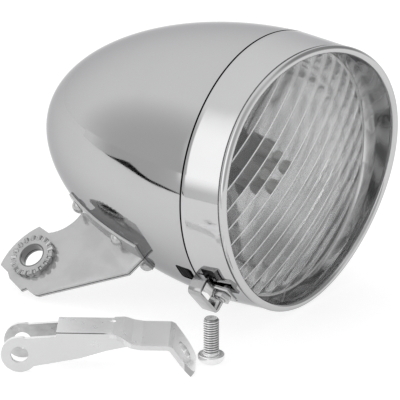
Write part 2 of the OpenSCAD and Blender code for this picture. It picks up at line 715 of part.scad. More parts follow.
// Arm screw, standing on its pan head, with a cross in the head
module arm_screw() {
    top = screw_head_h + screw_len;
    tip = 0.6;
    flat_r = 0.4 * screw_head_r;
    cross_w = 0.9;
    dome = [for (i = [0 : 6]) let (a = 15 * i)
        [flat_r + (screw_head_r - flat_r) * sin(a), 0.75 * screw_head_h * (1 - cos(a))]];
    color(satin) screw_place() difference() {
        rotate_extrude($fn = round_fn) polygon(concat([[0, 0]], dome, [[screw_head_r, screw_head_h - 0.3],
            [screw_head_r - 0.3, screw_head_h], [screw_r, screw_head_h], [screw_r, top - tip],
            [screw_r - tip, top], [0, top]]));
        for (a = [0, 90]) rotate(a)
            translate([-flat_r - 0.4, -cross_w / 2, -1]) cube([2 * flat_r + 0.8, cross_w, 2.4]);
    }
}

shell();
bezel_ring();
lens();
lens_gasket();
reflector();
lens_clips();
led_holder();
leds();
led_board();
battery_carrier();
batteries();
battery_springs();
battery_contacts();
switch_body();
switch_slider();
lug_plate_near();
lug_plate_far();
lug_serrated_ring();
lug_rivets();
clamp_stirrup();
clamp_nut();
clamp_screw();
mounting_arm();
arm_screw();
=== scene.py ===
"""Looks of a retro bicycle headlight that lies on its side, with its loose bracket arm and screw.
Lengths are written in millimetres, as on the drawing, and turned into metres when a mesh is made."""
import math

import bmesh
import bpy
from mathutils import Matrix, Vector


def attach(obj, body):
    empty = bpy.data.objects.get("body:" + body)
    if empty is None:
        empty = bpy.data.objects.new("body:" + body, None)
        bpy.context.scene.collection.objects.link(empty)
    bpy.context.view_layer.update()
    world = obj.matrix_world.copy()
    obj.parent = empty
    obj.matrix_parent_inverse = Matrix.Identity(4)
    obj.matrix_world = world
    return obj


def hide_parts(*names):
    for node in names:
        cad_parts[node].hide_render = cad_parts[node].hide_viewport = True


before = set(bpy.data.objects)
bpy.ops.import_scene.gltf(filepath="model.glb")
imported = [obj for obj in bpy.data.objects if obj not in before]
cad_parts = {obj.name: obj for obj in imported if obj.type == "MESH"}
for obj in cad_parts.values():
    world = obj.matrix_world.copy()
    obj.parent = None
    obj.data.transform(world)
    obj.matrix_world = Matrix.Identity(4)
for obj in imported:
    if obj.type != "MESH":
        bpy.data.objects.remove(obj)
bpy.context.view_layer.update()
MM = 0.001

# Lamp, as on the drawing
seam_r, shell_len, dome_power, shell_wall = 45.0, 87.0, 1.9, 0.9
neck_len, shell_lip, lamp_roll = 3.0, 1.2, 50.0
ring_len, rim_dip, rim_peak, rim_r, ring_wall = 20.4, 4.3, 2.2, 43.8, 1.0
bead_r, bead_proud, seam_gap, seat_slope = 1.3, 0.15, 0.4, 3.0
lens_r, lens_x, lens_crown, lens_t = 41.0, 8.8, 6.5, 1.8
flute_pitch, flute_depth = 5.4, 0.24
bowl_r, bowl_depth, holder_r = 31.0, 8.0, 9.0
window_x1, window_len, window_w, window_turn, window_corner = -1.3, 6.6, 7.0, 3.0, 1.0
clamp_span, clamp_t, clamp_turn, slot_x0, slot_len = 14.0, 1.2, 2.5, 3.4, 5.0
lug_hole_x, lug_hole_z, lug_hole_r = 63.4, 54.6, 4.0
# Arm and screw
arm_len, ear_r = 54.6, 5.8
arm_back, arm_side, arm_turn = 21.9, 97.3, math.radians(36.3)
screw_r, screw_len, screw_head_r, screw_head_h, screw_gap, screw_across = 2.5, 12.0, 4.25, 3.3, 0.5, 9.6
thread_pitch, thread_depth = 0.8, 0.42


def ring_out_at(x):
    """Outside radius of the front ring at a distance in front of the seam."""
    return seam_r - (seam_r - rim_r) * (x - seam_gap) / (ring_len - seam_gap)


ring_in_r = ring_out_at(lens_x) - ring_wall
neck_r = ring_in_r - 0.3
edge_r = ring_in_r - 0.05 - 0.8
screw_along = arm_len + screw_gap + screw_head_r
screw_x = -arm_back + screw_along * math.cos(arm_turn) - screw_across * math.sin(arm_turn)
screw_y = -arm_side + screw_along * math.sin(arm_turn) + screw_across * math.cos(arm_turn)
layout_x = (screw_x + screw_head_r - shell_len) / 2
layout_y = (seam_r - arm_side - ear_r * math.sin(arm_turn)) / 2
LAMP = (Matrix.Translation(Vector((-layout_x, -layout_y, seam_r)))
        @ Matrix.Rotation(math.radians(-lamp_roll), 4, "X"))
SCREW = Matrix.Translation(Vector((screw_x - layout_x, screw_y - layout_y, 0)))


# Ways and places of the lamp and the arm, in metres in the frame
seam_middle = tuple(LAMP.to_translation() * MM)
lamp_ahead = (1.0, 0.0, 0.0)
lamp_across = tuple(LAMP.to_3x3() @ Vector((0, 1, 0)))
lamp_up = tuple(LAMP.to_3x3() @ Vector((0, 0, 1)))
lamp_axis = (seam_middle, lamp_ahead)
lug_hole_axis = (tuple(LAMP @ Vector((-lug_hole_x, 0, -lug_hole_z)) * MM), lamp_across)
lens_sphere_r = (lens_r ** 2 + lens_crown ** 2) / (2 * lens_crown)
lens_middle = tuple(LAMP @ Vector((lens_x + lens_crown - lens_sphere_r, 0, 0)) * MM)
arm_middle = ((-layout_x - arm_back) * MM, (-layout_y - arm_side) * MM, 0.0)
arm_across = (math.sin(arm_turn), -math.cos(arm_turn), 0.0)
arm_along = (math.cos(arm_turn), math.sin(arm_turn), 0.0)
screw_axis = (tuple(SCREW.to_translation() * MM), (0.0, 0.0, 1.0))

# Camera: far off, above the lamp's front quarter. The seam's middle lies at a given place in the picture
camera_azimuth, camera_elevation, camera_far = math.radians(38.6), math.radians(21), 1200.0
picture_px, focal_px, seam_px_right, seam_px_down = 400, 3717.6, 267.1, 166.6


def make_camera():
    look = Vector((-math.sin(camera_azimuth) * math.cos(camera_elevation),
                   math.cos(camera_azimuth) * math.cos(camera_elevation), -math.sin(camera_elevation)))
    right = Vector((math.cos(camera_azimuth), math.sin(camera_azimuth), 0))
    up = right.cross(look)
    across = (seam_px_right - picture_px / 2) / focal_px * camera_far
    above = (picture_px / 2 - seam_px_down) / focal_px * camera_far
    place = LAMP.to_translation() - camera_far * look - across * right - above * up
    data = bpy.data.cameras.new("Camera")
    data.sensor_width = 36
    data.lens = focal_px * data.sensor_width / picture_px
    data.clip_end = 50
    camera = bpy.data.objects.new("Camera", data)
    turn = Matrix((right, up, -look)).transposed().to_4x4()
    camera.matrix_world = Matrix.Translation(place * MM) @ turn
    bpy.context.scene.collection.objects.link(camera)
    bpy.context.scene.camera = camera


make_camera()


# Materials
class Value:
    """A socket of a finish, so that sums can be written as they are on paper."""

    def __init__(self, finish, socket):
        self.finish, self.socket = finish, socket

    def sum(self, operation, first, second):
        return self.finish.node("ShaderNodeMath", {"operation": operation}, {0: first, 1: second})

    def __add__(self, other): return self.sum("ADD", self, other)
    def __radd__(self, other): return self.sum("ADD", other, self)
    def __sub__(self, other): return self.sum("SUBTRACT", self, other)
    def __rsub__(self, other): return self.sum("SUBTRACT", other, self)
    def __mul__(self, other): return self.sum("MULTIPLY", self, other)
    def __rmul__(self, other): return self.sum("MULTIPLY", other, self)
    def at_least(self, other): return self.sum("MAXIMUM", self, other)


class Finish:
    """A material, or the studio's surroundings, made from nodes."""

    def __init__(self, owner):
        owner.use_nodes = True
        self.owner, self.tree = owner, owner.node_tree
        self.tree.nodes.clear()

    def node(self, kind, settings=None, values=None, out=0):
        """A node with its settings made first, then the values or links of its sockets."""
        made = self.tree.nodes.new(kind)
        for key, value in (settings or {}).items():
            setattr(made, key, value)
        for key, value in (values or {}).items():
            if isinstance(value, Value):
                self.tree.links.new(value.socket, made.inputs[key])
            elif isinstance(value, tuple) and len(value) == 3 and made.inputs[key].type == "RGBA":
                made.inputs[key].default_value = (*value, 1)
            else:
                made.inputs[key].default_value = value
        return Value(self, made.outputs[out]) if made.outputs else None

    def vector(self, operation, first, second=(0.0, 0.0, 0.0), out=0):
        return self.node("ShaderNodeVectorMath", {"operation": operation}, {0: first, 1: second}, out=out)

    def dot(self, first, second):
        return self.vector("DOT_PRODUCT", first, second, out="Value")

    def height(self, of):
        """The upward part of a place or a way."""
        return self.node("ShaderNodeSeparateXYZ", {}, {0: of}, out="Z")

    def place(self):
        return self.node("ShaderNodeTexCoord", out="Object")

    def path(self, ray):
        return self.node("ShaderNodeLightPath", out=ray)

    def along(self, way, middle=seam_middle):
        """Distance from a middle, measured along a way."""
        return self.dot(self.vector("SUBTRACT", self.place(), middle), way)

    def beyond(self, axis):
        """Distance from an axis, given as its middle and its way."""
        middle, way = axis
        out = self.vector("CROSS_PRODUCT", self.vector("SUBTRACT", self.place(), middle), way)
        return self.vector("LENGTH", out, out="Value")

    def noise(self, scale, detail=3.0, stretch=None):
        where = self.place()
        if stretch:
            where = self.vector("MULTIPLY", where, stretch)
        return self.node("ShaderNodeTexNoise", {}, {"Vector": where, "Scale": scale, "Detail": detail})

    def band(self, value, low, high):
        """0 below low, 1 above high, smooth between them."""
        return self.node("ShaderNodeMapRange", {"interpolation_type": "SMOOTHSTEP"},
                         {"Value": value, "From Min": low, "From Max": high})

    def below(self, value, low, high):
        """1 below low, 0 above high, smooth between them."""
        return 1.0 - self.band(value, low, high)

    def blend(self, share, first, second):
        """One colour turning into another."""
        return self.node("ShaderNodeMix", {"data_type": "RGBA"},
                         {"Factor": share, 6: first, 7: second}, out=2)

    def bump(self, height, strength, distance):
        return self.node("ShaderNodeBump", {}, {"Height": height, "Strength": strength, "Distance": distance})

    def principled(self, **values):
        return self.node("ShaderNodeBsdfPrincipled", {}, {k.replace("_", " "): v for k, v in values.items()})

    def mixed(self, share, first, second):
        """One shader turning into another."""
        return self.node("ShaderNodeMixShader", {}, {0: share, 1: first, 2: second})

    def finish_with(self, shader):
        self.node("ShaderNodeOutputMaterial", {}, {"Surface": shader})
        return self.owner


def material(name):
    return Finish(bpy.data.materials.new(name))


def steel(level):
    """A metal's grey, a touch cool."""
    return (level, level, level + 0.002)


def grey(level):
    return (level, level, level)


def dimmed(shade, share):
    return tuple(c * share for c in shade)


def polished_chrome(name, tint, polish, wipe, low=1.0):
    """Plating on a smooth sheet, with painted shade: black in the seam's gap, and darker low on the lamp."""
    m = material(name)
    low_from, low_to, seam_shown, seam_past = 46, 22, 0.6, 0.14
    wipes = m.band(m.noise(38, 4.0, stretch=(1.0, 0.35, 1.6)), 0.42, 0.72)
    specks = m.band(m.noise(1400, 2.0), 0.66, 0.8)
    shade = m.blend(wipes * 0.5, tint, dimmed(tint, 0.94))
    # Painted shade: the chrome is drawn darker low on the lamp, fully below low_to and fading out towards
    # low_from millimetres above the floor.
    shade = m.blend(m.below(m.height(m.place()), low_to * MM, low_from * MM), shade, dimmed(tint, low))
    # Painted shade: black in the gap of the seam between the shell and the front ring.
    ahead = m.along(lamp_ahead)
    seam_shade = (m.band(ahead, (-seam_past - 0.02) * MM, (-seam_past + 0.06) * MM)
               * m.below(ahead, (seam_gap + seam_past - 0.08) * MM, (seam_gap + seam_past) * MM)
               * m.band(m.beyond(lamp_axis), (seam_r - seam_shown - 0.15) * MM, (seam_r - seam_shown) * MM))
    shade = m.blend(seam_shade, shade, grey(0.02))
    return m.finish_with(m.principled(
        Base_Color=shade, Metallic=1.0, Specular_Tint=(0.62, 0.62, 0.63),
        Roughness=polish + wipe * wipes + 0.06 * specks, Normal=m.bump(m.noise(55, 2.0), 0.12, 0.0004)))


def stamped_chrome(name, bright, dim, metal=1.0, bore=0.0, shade_within_r=0.0):
    """Chrome on stamped sheet: the sheet's grain shows through the plating.
    The lug has painted shade in its bore and a dark line of painted shade and grime in its joint, and the
    clamp has painted shade where the ring hides it."""
    m = material(name)
    grain = m.noise(900, 3.0, stretch=(1.0, 3.0, 3.0))
    dull = m.band(m.noise(120, 4.0), 0.4, 0.7)
    shade = m.blend(dull * 0.6, steel(bright), steel(dim))
    if bore:
        # Painted shade inside the lug's bore.
        bore_shade = m.below(m.beyond(lug_hole_axis), bore * MM, (bore + 0.3) * MM)
        shade = m.blend(bore_shade, shade, steel(0.16))
        # A dark line in the joint between the lug plates: painted shade in the gap, with grime.
        middle, way = lug_hole_axis
        from_joint = m.node("ShaderNodeMath", {"operation": "ABSOLUTE"}, {0: m.along(way, middle)})
        shade = m.blend(m.below(from_joint, 0.1 * MM, 0.3 * MM), shade, grey(0.03))
    if shade_within_r:
        # Painted shade on the clamp where the front ring hides it.
        shade = m.blend(m.below(m.beyond(lamp_axis), (shade_within_r - 0.5) * MM, shade_within_r * MM), shade, grey(0.01))
    return m.finish_with(m.principled(
        Base_Color=shade, Metallic=metal, Roughness=0.05 + 0.07 * dull + 0.05 * grain,
        Normal=m.bump(m.noise(210, 3.0) + 0.4 * grain, 0.14, 0.0003)))


def arm_painted_light(m, tone, shade, grain):
    """Painted light and shade on the folded arm, set by where its faces point: white from its jog to its
    foot, a darker near flange, a painted highlight along its near fold beside a line of painted shade,
    painted shade on the foot's rim, and a darker inner face of the far ear, streaked with grain.
    """
    jog_start, jog_end, fold_end = 22, 30, 28
    facing = m.node("ShaderNodeNewGeometry", out="True Normal")
    drop, lean = m.dot(facing, arm_along), m.dot(facing, arm_across)
    reach, side = m.along(arm_along, arm_middle), m.along(arm_across, arm_middle)
    flange = m.band(lean, 0.9, 0.98)
    # Painted light: faces that point along the arm, and the arm past its jog, are drawn white.
    painted_bright = m.band(drop, 0.12, 0.4).at_least(m.band(reach, jog_start * MM, jog_end * MM))
    tone = m.blend(painted_bright * m.below(lean, 0.1, 0.2), tone, grey(1.0))
    # Painted shade: the near flange is drawn darker.
    tone = m.blend(flange, tone, dimmed(shade, 0.78))
    # Painted highlight along the bend of the near fold.
    tone = m.blend(m.band(lean, 0.04, 0.1) * m.below(lean, 0.34, 0.4), tone, grey(1.0))
    # Painted shade: a dark line beside the fold's highlight, fainter beyond fold_end.
    fold = m.band(lean, 0.4, 0.5) * m.below(lean, 0.86, 0.94) * m.below(drop, 0.35, 0.5)
    fading = 1.0 - 0.7 * m.band(reach, (fold_end - 2) * MM, fold_end * MM)
    tone = m.blend(fold * fading, tone, grey(0.1))
    # Painted shade on the rim of the foot's tip.
    tip = m.band(drop, 0.3, 0.45) * m.below(m.height(facing), 0.1, 0.3)
    tone = m.blend(tip, tone, steel(0.42))
    # Painted shade on the inner face of the far ear, streaked with the sheet's grain.
    far_ear_shade = flange * m.band(-1.0 * side, 0.0, 1 * MM)
    return m.blend(far_ear_shade, tone, m.blend(grain, steel(0.4), steel(0.75)))


def thread_root_shade(m, tone, shade):
    """Painted shade in the root of the rolled thread, on faces that do not point up."""
    facing = m.node("ShaderNodeNewGeometry", out="Normal")
    shank = m.band(m.height(m.place()), (screw_head_h + 0.1) * MM, (screw_head_h + 0.4) * MM)
    root = m.below(m.beyond(screw_axis), (screw_r - thread_depth) * MM, (screw_r - 0.06) * MM)
    # Painted shade: the thread's root is drawn dark on the shank's faces that do not point up.
    return m.blend(shank * m.below(m.height(facing), 0.85, 0.95) * root, tone, dimmed(shade, 0.25))


def satin_zinc(name, level, rough=0.27, metal=0.75, is_arm=False, is_thread=False):
    """Zinc plating on pressed steel, with a faint grain along the sheet and small rubs."""
    m = material(name)
    shade = steel(level)
    grain = m.noise(260, 3.0, stretch=(0.5, 2.0, 2.0))
    cloud = m.band(m.noise(90, 4.0), 0.35, 0.7)
    rub = m.band(m.noise(300, 5.0), 0.6, 0.75)
    tone = m.blend(cloud * 0.7, shade, dimmed(shade, 0.9))
    # The arm gets painted light and shade.
    if is_arm:
        tone = arm_painted_light(m, tone, shade, grain)
    # The thread gets painted shade in its root.
    if is_thread:
        tone = thread_root_shade(m, tone, shade)
    return m.finish_with(m.principled(
        Base_Color=tone, Metallic=metal, Roughness=rough + 0.08 * cloud + 0.05 * grain - 0.07 * rub,
        Normal=m.bump(grain + 0.6 * cloud, 0.06, 0.0002)))


def mirror_coat(name):
    """Vacuum-metallised plastic of the reflector."""
    m = material(name)
    haze = m.band(m.noise(70, 4.0), 0.4, 0.75)
    return m.finish_with(m.principled(
        Base_Color=m.blend(haze, steel(0.52), steel(0.44)), Metallic=1.0, Roughness=0.07 + 0.06 * haze,
        Normal=m.bump(m.noise(160, 2.0), 0.1, 0.0002)))


def lens_glass(name):
    """Clear moulded lens with painted highlights: matt in the valleys between its flutes and at its edge, and
    these matt lines glow faintly.
    The valleys are crisp below and soft above. Shadow rays pass, to light the reflector."""
    m = material(name)
    pitch, soft_from, far_side, edge_w, highlight_glow = flute_pitch * MM, 22, 28, 1.5, 0.25
    flow = m.noise(45, 3.0, stretch=(1.0, 2.2, 0.5))
    glass = m.principled(
        Base_Color=m.blend(m.band(flow, 0.3, 0.8), (0.87, 0.872, 0.872), (0.83, 0.834, 0.834)),
        Roughness=0.05 + 0.03 * m.band(flow, 0.45, 0.75), IOR=1.42, Transmission_Weight=1.0,
        Normal=m.bump(flow, 0.08, 0.0003))
    # Painted highlights: a pale matt finish that glows faintly, though the lens is no lamp.
    matt = m.principled(
        Base_Color=m.blend(flow, grey(1.0), grey(0.9)), Roughness=0.25, Emission_Color=grey(1.0),
        Emission_Strength=highlight_glow)
    across = m.along(lamp_across)
    valley = m.node("ShaderNodeMath", {"operation": "PINGPONG"}, {0: across, 1: pitch / 2})
    from_middle = m.vector("DISTANCE", m.place(), lens_middle, out="Value")
    inside = m.below(from_middle, (lens_sphere_r - 1.2) * MM, (lens_sphere_r - 0.8) * MM)
    # Painted highlights: crisp lines low down and fainter on the far side, soft streaks above, and a band at
    # the edge.
    soft = m.band(m.along(lamp_up), 0.0, soft_from * MM)
    crisp = (1.0 - soft) * (1.0 - 0.65 * m.band(across, 0.0, far_side * MM))
    line = m.band(valley, pitch / 2 - 0.34 * MM, pitch / 2 - 0.14 * MM) * crisp
    highlight_streak = m.band(valley, 0.08 * pitch, 0.46 * pitch) * soft
    edge = m.band(m.beyond(lamp_axis), (lens_r - edge_w) * MM, (lens_r - 0.7) * MM)
    share = (0.9 * line * inside + 0.45 * highlight_streak * inside).at_least(0.28 * edge)
    clear = m.node("ShaderNodeBsdfTransparent", {}, {"Color": (0.93, 0.94, 0.94)})
    return m.finish_with(m.mixed(m.path("Is Shadow Ray"), m.mixed(share, glass, matt), clear))


def moulded_plastic(name, shade, rough=0.42, grain_size=900, shine=0.5):
    """Moulded plastic with a fine grain and paler patches."""
    m = material(name)
    patch = m.band(m.noise(130, 3.0), 0.35, 0.75)
    pale = tuple(min(1.0, c * 1.25 + 0.004) for c in shade)
    return m.finish_with(m.principled(
        Base_Color=m.blend(patch, shade, pale), Roughness=rough + 0.12 * patch, Specular_IOR_Level=shine,
        Normal=m.bump(m.noise(grain_size, 4.0), 0.2, 0.0002)))


def clear_diode(name):
    """Clear resin of the LEDs."""
    m = material(name)
    swirl = m.band(m.noise(220, 2.0), 0.35, 0.7)
    return m.finish_with(m.principled(
        Base_Color=m.blend(swirl, (0.93, 0.93, 0.9), (0.86, 0.87, 0.84)), Roughness=0.06 + 0.08 * swirl,
        Transmission_Weight=0.7, IOR=1.5, Normal=m.bump(swirl, 0.1, 0.0002)))


def circuit_board(name):
    """Green lacquer over copper tracks and woven glass."""
    m = material(name)
    weave = m.noise(1500, 2.0, stretch=(1.0, 1.0, 3.0))
    tracks = m.band(m.noise(260, 0.0), 0.5, 0.54)
    return m.finish_with(m.principled(
        Base_Color=m.blend(tracks, (0.02, 0.13, 0.06), (0.05, 0.24, 0.11)), Roughness=0.3 + 0.15 * weave,
        Normal=m.bump(tracks, 0.3, 0.0001)))


def cell_sleeve(name):
    """Printed film round the cells, scuffed."""
    m = material(name)
    scuff = m.band(m.noise(240, 5.0), 0.52, 0.7)
    return m.finish_with(m.principled(
        Base_Color=m.blend(scuff, (0.16, 0.2, 0.23), (0.3, 0.34, 0.37)), Metallic=0.6,
        Roughness=0.24 + 0.2 * scuff, Normal=m.bump(m.noise(500, 3.0), 0.1, 0.0001)))


def brass(name):
    """Brass strip with a little tarnish."""
    m = material(name)
    tarnish = m.band(m.noise(300, 4.0), 0.45, 0.75)
    return m.finish_with(m.principled(
        Base_Color=m.blend(tarnish, (0.72, 0.52, 0.22), (0.5, 0.35, 0.15)), Metallic=1.0,
        Roughness=0.25 + 0.2 * tarnish, Normal=m.bump(m.noise(800, 2.0), 0.15, 0.0001)))


def rubber(name):
    """Black rubber with dust on it."""
    m = material(name)
    dust = m.band(m.noise(200, 5.0), 0.5, 0.8)
    return m.finish_with(m.principled(
        Base_Color=m.blend(dust, grey(0.018), (0.06, 0.06, 0.058)), Roughness=0.7 + 0.15 * dust,
        Normal=m.bump(m.noise(1200, 3.0), 0.3, 0.0002)))


# The shell's chrome is drawn darker low down (low=0.86): painted shade.
chrome = polished_chrome("polished_chrome", steel(0.51), polish=0.045, wipe=0.05, low=0.86)
ring_chrome = polished_chrome("ring_chrome", steel(0.55), polish=0.04, wipe=0.04)
plate_chrome = stamped_chrome("stamped_chrome", 0.53, 0.45, metal=0.5, bore=lug_hole_r + 0.1)
boss_chrome = stamped_chrome("boss_chrome", 0.46, 0.34, bore=lug_hole_r + 0.3)
clamp_chrome = stamped_chrome("clamp_chrome", 0.44, 0.34, shade_within_r=seam_r - 0.3)
zinc = satin_zinc("satin_zinc", 0.8)
arm_zinc = satin_zinc("arm_zinc", 0.89, is_arm=True)
# The nut and the stud are drawn in a darker copy of the zinc: painted shade.
nut_zinc = satin_zinc("nut_zinc", 0.46, rough=0.16, metal=1.0)
screw_zinc = satin_zinc("screw_zinc", 0.88, rough=0.17, metal=1.0, is_thread=True)
reflector_coat = mirror_coat("reflector_mirror")
glass = lens_glass("clear_lens")
black_plastic = moulded_plastic("black_plastic", (0.012, 0.012, 0.013))


# Meshes
def piece(name, body, finish, points, faces, place=LAMP, crease=30, nodes=()):
    """An object from points in millimetres, smooth where its faces meet at less than the crease."""
    made = link_mesh(name, [place_point(place, p) for p in points], faces)
    dress(made, body, finish, crease, nodes)
    return made


def place_point(place, p):
    return (place @ Vector(p)) * MM


def link_mesh(name, points, faces):
    """An object in the scene, from points in metres."""
    mesh = bpy.data.meshes.new(name)
    mesh.from_pydata(points, [], faces)
    made = bpy.data.objects.new(name, mesh)
    bpy.context.scene.collection.objects.link(made)
    return made


def dress(made, body, finish, crease, nodes):
    """Gives a piece its finish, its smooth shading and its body."""
    mesh = made.data
    work = bmesh.new()
    work.from_mesh(mesh)
    bmesh.ops.recalc_face_normals(work, faces=work.faces)
    work.to_mesh(mesh)
    work.free()
    mesh.polygons.foreach_set("use_smooth", [True] * len(mesh.polygons))
    mesh.set_sharp_from_angle(angle=math.radians(crease))
    mesh.materials.clear()
    mesh.materials.append(finish)
    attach(made, body)
    if nodes:
        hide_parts(*nodes)


def grid_faces(rows, columns, round_rows=False, round_columns=True, start=0):
    """Faces between points that stand in rows, closed round where told."""
    faces = []
    for i in range(rows if round_rows else rows - 1):
        for j in range(columns if round_columns else columns - 1):
            k, m = (i + 1) % rows, (j + 1) % columns
            faces.append([start + i * columns + j, start + i * columns + m,
                          start + k * columns + m, start + k * columns + j])
    return faces


def turned_points(outline, steps):
    """Outline points [along X, radius] turned about the lamp's axis."""
    return [(x, r * math.sin(2 * math.pi * j / steps), r * math.cos(2 * math.pi * j / steps))
            for x, r in outline for j in range(steps)]


def arc(x, r, size, start, end, steps):
    """Outline points of an arc, with angles in degrees from the way outward towards +X."""
    return [(x + size * math.sin(math.radians(start + (end - start) * i / steps)),
             r + size * math.cos(math.radians(start + (end - start) * i / steps))) for i in range(steps + 1)]


def cut(made, *cutters):
    """Takes the cutters' shapes out of a piece."""
    for cutter in cutters:
        tool = made.modifiers.new("cut", "BOOLEAN")
        tool.operation, tool.solver, tool.object = "DIFFERENCE", "EXACT", cutter
        view = bpy.context.evaluated_depsgraph_get()
        result = bpy.data.meshes.new_from_object(made.evaluated_get(view))
        made.modifiers.clear()
        made.data = result
        shape = cutter.data
        bpy.data.objects.remove(cutter)
        bpy.data.meshes.remove(shape)


def prism(outline, low, high, place):
    """A cutter with a flat outline, between two heights along Z."""
    n = len(outline)
    points = [place_point(place, (x, y, z)) for z in (low, high) for x, y in outline]
    faces = [list(range(n - 1, -1, -1)), list(range(n, 2 * n))]
    faces += [[i, (i + 1) % n, n + (i + 1) % n, n + i] for i in range(n)]
    return link_mesh("cutter", points, faces)


def rounded_box(x0, x1, y0, y1, corner, steps=6):
    """Outline of a rectangle with round corners."""
    outline = []
    for x, y, start in ((x1 - corner, y1 - corner, 0), (x0 + corner, y1 - corner, 90),
                        (x0 + corner, y0 + corner, 180), (x1 - corner, y0 + corner, 270)):
        for i in range(steps + 1):
            a = math.radians(start + 90 * i / steps)
            outline.append((x + corner * math.cos(a), y + corner * math.sin(a)))
    return outline


def dome_line(r, length, steps=110):
    """Outline of the bullet's dome, from its tip to the seam."""
    return [(-length * math.cos(math.pi / 2 * i / steps) ** (2 / dome_power),
             r * math.sin(math.pi / 2 * i / steps) ** (2 / dome_power)) for i in range(1, steps + 1)]


def make_shell():
    """The bullet with its neck, on which the front slides, and the switch's window."""
    steps, rim_ease, neck_ease, through = 256, 0.06, 0.2, 3
    outer = dome_line(seam_r, shell_len)
    inner = reversed(dome_line(seam_r - shell_wall, shell_len - shell_wall, 60))
    outline = outer[:-1] + [(-rim_ease, seam_r), (0, seam_r - rim_ease), (0, neck_r)]
    outline += [(neck_len - neck_ease, neck_r), (neck_len, neck_r - neck_ease),
                (neck_len, neck_r - shell_wall), (-shell_lip, neck_r - shell_wall)]
    outline += [p for p in inner if p[0] < -shell_lip]
    points = turned_points(outline, steps)
    faces = grid_faces(len(outline), steps)
    tip, hollow = len(points), len(points) + 1
    points += [(-shell_len, 0, 0), (-(shell_len - shell_wall), 0, 0)]
    last = (len(outline) - 1) * steps
    faces += [[tip, (j + 1) % steps, j] for j in range(steps)]
    faces += [[hollow, last + j, last + (j + 1) % steps] for j in range(steps)]
    shell = piece("Rear_Housing", "lamp", chrome, points, faces)
    turn = LAMP @ Matrix.Rotation(math.radians(-window_turn), 4, "X")
    window = rounded_box(window_x1 - window_len, window_x1, -window_w / 2, window_w / 2, window_corner)
    cut(shell, prism(window, -seam_r - 1, -seam_r + through, turn))
    dress(shell, "lamp", chrome, 30, ["shell"])


# Front ring
rim_curve_r = (rim_r ** 2 + rim_dip ** 2) / (2 * rim_dip)
rim_tilt = math.atan(rim_peak / rim_r)


def rim_x_at(r, a):
    """How far ahead the bead's middle lies at an angle: the rim is a tilted saddle."""
    side = r * math.sin(a)
    return (ring_len - bead_r + r * math.cos(a) * math.tan(rim_tilt)
            - (rim_curve_r - math.sqrt(rim_curve_r ** 2 - side ** 2)) / math.cos(rim_tilt))


def make_ring():
    """One pressed sheet: a cone with a groove before its rolled bead, and a slanted seat inside."""
    steps, bead_steps, wall_steps, seat_steps = 320, 20, 10, 5
    sunk, groove_depth, groove_slope, rim_ease = 0.7, 0.4, 0.08, 0.08
    columns = []
    for j in range(steps):
        a = 2 * math.pi * j / steps
        bead_at = ring_out_at(rim_x_at(rim_r - bead_r, a)) + bead_proud - bead_r
        bead_x = rim_x_at(bead_at, a)
        join = math.degrees(math.acos((bead_r - bead_proud) / bead_r))
        inner = math.degrees(math.acos(-sunk / bead_r))
        bead = arc(bead_x, bead_at, bead_r, -join, 360 - inner, bead_steps)
        wall_end, back = bead[0][0], bead[-1][0]
        wall_x = [seam_gap + (wall_end - seam_gap) * (0.02 + 0.98 * i / wall_steps)
                  for i in range(wall_steps - 1)]
        wall = [(x, ring_out_at(x)) for x in wall_x]
        groove_from, groove_to, groove_r = wall_end - 0.5, wall_end - 0.05, ring_out_at(wall_end)
        wall += [(groove_from, groove_r), (groove_from + groove_slope, groove_r - groove_depth),
                 (groove_to, groove_r - groove_depth)]
        inside_x = [back + (lens_x + seat_slope - back) * i / seat_steps for i in range(1, seat_steps + 1)]
        inside = [(x, ring_out_at(x) - 1.42 * bead_r) for x in inside_x]
        outline = [(seam_gap, ring_in_r), (seam_gap, seam_r - rim_ease)] + wall + bead + inside
        outline += [(lens_x, lens_r), (lens_x, ring_in_r)]
        columns.append([(x, r * math.sin(a), r * math.cos(a)) for x, r in outline])
    count = len(columns[0])
    points = [p for column in columns for p in column]
    ring = piece("Front_Ring", "front", ring_chrome, points,
                 grid_faces(steps, count, round_rows=True))
    slot_w, slot_corner, through = 4, 0.8, 4
    turn = LAMP @ Matrix.Rotation(math.radians(clamp_turn), 4, "X")
    for side in (-1, 1):
        across = sorted((side * (clamp_span / 2 - clamp_t), side * (clamp_span / 2 - clamp_t + slot_w)))
        slot = rounded_box(slot_x0, slot_x0 + slot_len, *across, slot_corner)
        cut(ring, prism(slot, -seam_r - 1, -seam_r + through, turn))
    dress(ring, "front", ring_chrome, 30, ["bezel_ring"])


